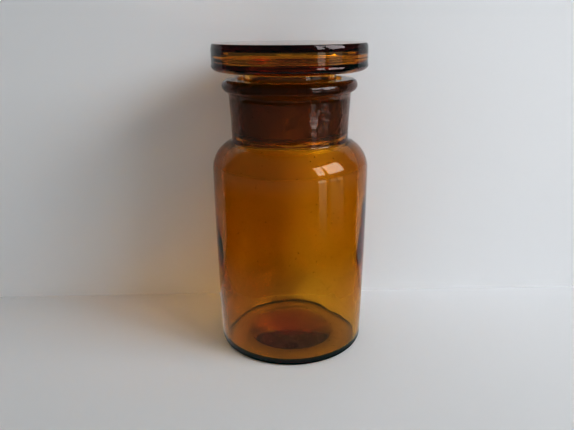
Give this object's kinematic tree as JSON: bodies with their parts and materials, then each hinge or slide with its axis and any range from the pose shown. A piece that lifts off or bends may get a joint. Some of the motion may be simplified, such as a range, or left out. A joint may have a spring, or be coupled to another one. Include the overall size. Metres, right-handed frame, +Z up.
{
  "type": "lidded glass canister",
  "caption": "Amber glass apothecary jar with rounded shoulder and beaded lip, closed by a hollow disc stopper ground to fit the neck and lifted off by hand",
  "frame": {"origin": "centre of the flat ring that the jar stands on", "axes": "+Z up along the jar's axis of revolution; X and Y are alike, since every piece is turned about Z"},
  "size_m": [0.07, 0.07, 0.138],
  "materials": {
    "amber_glass": "glossy brown-orange glass, ground matt where plug and neck meet"
  },
  "bodies": {
    "jar": {"jar": "amber_glass"},
    "stopper": {"stopper": "amber_glass"}
  },
  "joints": [
    {"name": "stopper_lift", "type": "slide", "parent": "jar", "child": "stopper", "axis": [0, 0, 1], "range_m": [0, 0.045]}
  ]
}
